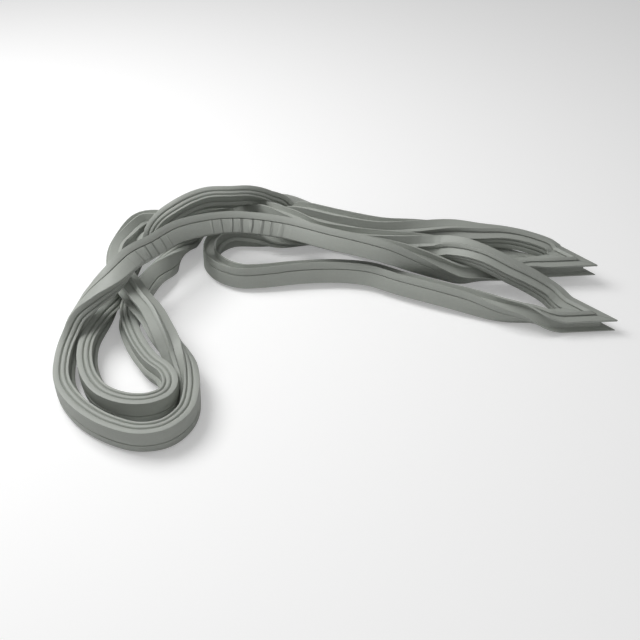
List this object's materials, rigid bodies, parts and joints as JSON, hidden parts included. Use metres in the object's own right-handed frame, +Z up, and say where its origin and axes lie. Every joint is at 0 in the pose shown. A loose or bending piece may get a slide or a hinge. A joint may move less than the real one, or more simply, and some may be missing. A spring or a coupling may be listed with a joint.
{
  "type": "refrigerator door gasket",
  "caption": "Magnetic refrigerator door gasket: a hollow soft profile welded at mitred corners into a closed loop, lying loosely looped in a heap.",
  "frame": {"origin": "middle of the footprint on the surface that the gasket lies on", "axes": "+X along the heap's length towards the two free corners, +Y away from the near loops, +Z up"},
  "size_m": [0.57, 0.4242, 0.081],
  "materials": {
    "profile": "matt flexible plastic with a soft sheen",
    "magnet": "matt dark flexible magnet"
  },
  "bodies": {
    "root": {"gasket": "profile", "magnet_long_a": "magnet", "magnet_short_a": "magnet", "magnet_long_b": "magnet", "magnet_short_b": "magnet"}
  },
  "joints": []
}
